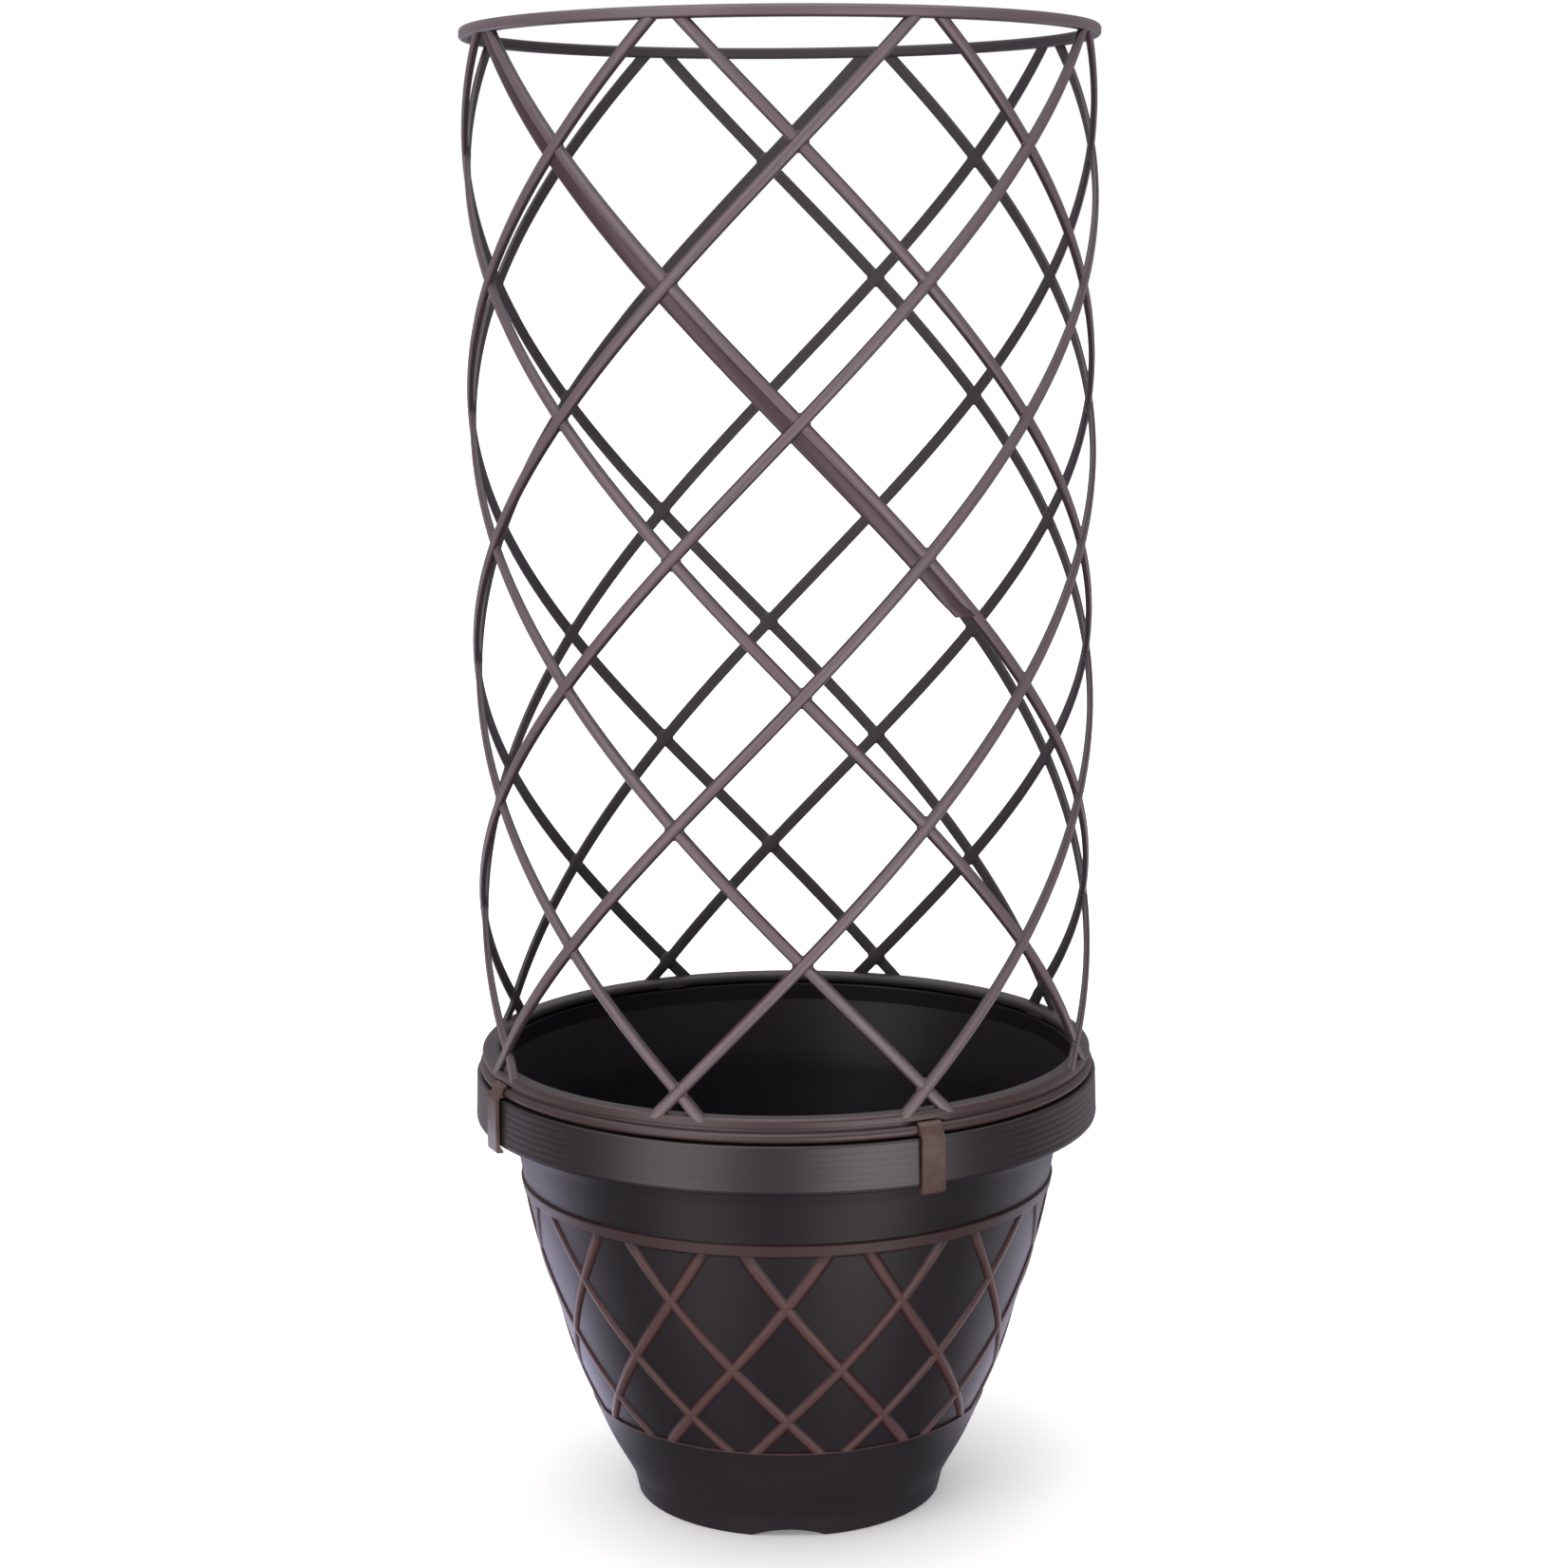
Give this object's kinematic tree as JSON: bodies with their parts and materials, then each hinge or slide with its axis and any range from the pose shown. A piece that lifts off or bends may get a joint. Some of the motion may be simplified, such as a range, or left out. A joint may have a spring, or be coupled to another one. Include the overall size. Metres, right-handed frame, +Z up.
{
  "type": "planter with trellis",
  "caption": "Round floor planter with a turned-down rim and relief lattice, and a clip-on cylindrical lattice trellis for climbing plants.",
  "frame": {"origin": "on the ground at the centre of the pot's foot, which is the middle of the object's lowest face", "axes": "+Z up along the planter's axis, -Y towards the side seen in the picture, +X to the viewer's right"},
  "size_m": [0.314, 0.314, 0.7356],
  "materials": {
    "pot_resin": "satin dark bronze moulded resin, copper rubbed over the raised ribs and bands",
    "trellis_resin": "satin bronze-brown moulded resin with a soft highlight along each strand",
    "clip_resin": "satin copper-brown moulded resin"
  },
  "bodies": {
    "pot": {"pot": "pot_resin"},
    "trellis": {"base_hoop": "trellis_resin", "top_hoop": "trellis_resin", "inner_strand_1": "trellis_resin", "inner_strand_2": "trellis_resin", "inner_strand_3": "trellis_resin", "inner_strand_4": "trellis_resin", "inner_strand_5": "trellis_resin", "inner_strand_6": "trellis_resin", "inner_strand_7": "trellis_resin", "inner_strand_8": "trellis_resin", "outer_strand_1": "trellis_resin", "outer_strand_2": "trellis_resin", "outer_strand_3": "trellis_resin", "outer_strand_4": "trellis_resin", "outer_strand_5": "trellis_resin", "outer_strand_6": "trellis_resin", "outer_strand_7": "trellis_resin", "outer_strand_8": "trellis_resin", "seam_strand": "trellis_resin"},
    "clip_1": {"rim_clip_1": "clip_resin"},
    "clip_2": {"rim_clip_2": "clip_resin"},
    "clip_3": {"rim_clip_3": "clip_resin"},
    "clip_4": {"rim_clip_4": "clip_resin"}
  },
  "joints": [
    {"name": "trellis_lift", "type": "slide", "parent": "pot", "child": "trellis", "axis": [0, 0, 1], "range_m": [0, 0.015]},
    {"name": "clip_1_swing", "type": "hinge", "parent": "trellis", "child": "clip_1", "pos_m": [-0.13733, -0.0655, 0.22445], "axis": [-0.4305, 0.9026, 0], "range_deg": [0, 26]},
    {"name": "clip_2_swing", "type": "hinge", "parent": "trellis", "child": "clip_2", "pos_m": [0.0655, -0.13733, 0.22445], "axis": [-0.9026, -0.4305, 0], "range_deg": [0, 26]},
    {"name": "clip_3_swing", "type": "hinge", "parent": "trellis", "child": "clip_3", "pos_m": [0.13733, 0.0655, 0.22445], "axis": [0.4305, -0.9026, 0], "range_deg": [0, 26]},
    {"name": "clip_4_swing", "type": "hinge", "parent": "trellis", "child": "clip_4", "pos_m": [-0.0655, 0.13733, 0.22445], "axis": [0.9026, 0.4305, 0], "range_deg": [0, 26]}
  ],
  "couplings": [
    {"joint": "clip_1_swing", "follows": "trellis_lift", "rad_per_m": 30},
    {"joint": "clip_2_swing", "follows": "trellis_lift", "rad_per_m": 30},
    {"joint": "clip_3_swing", "follows": "trellis_lift", "rad_per_m": 30},
    {"joint": "clip_4_swing", "follows": "trellis_lift", "rad_per_m": 30}
  ]
}
